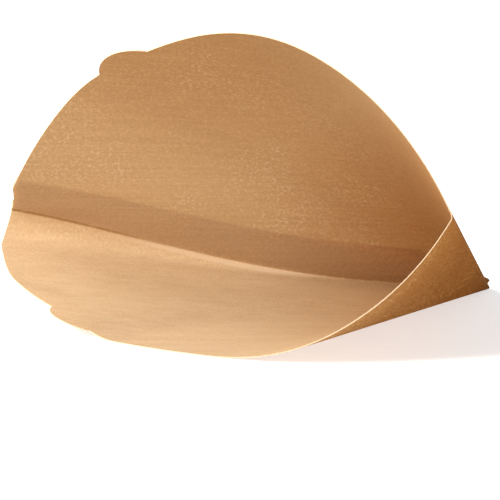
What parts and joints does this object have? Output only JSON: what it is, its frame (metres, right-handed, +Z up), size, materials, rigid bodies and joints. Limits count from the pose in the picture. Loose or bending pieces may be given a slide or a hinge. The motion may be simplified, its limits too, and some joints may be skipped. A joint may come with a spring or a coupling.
{
  "type": "paper coffee filter",
  "caption": "Conical paper coffee filter, folded from one sheet with a crimped seam, opened and lying on its side.",
  "frame": {"origin": "middle of the flat stretch of the front panel that the filter lies on", "axes": "+Z is up from the surface that it lies on, the tip points towards +X and +Y, and the mouth opens towards -X and -Y"},
  "size_m": [0.1154, 0.1134, 0.0708],
  "materials": {
    "filter_paper": "matt unbleached creped paper"
  },
  "bodies": {
    "root": {"coffee_filter": "filter_paper"}
  },
  "joints": []
}
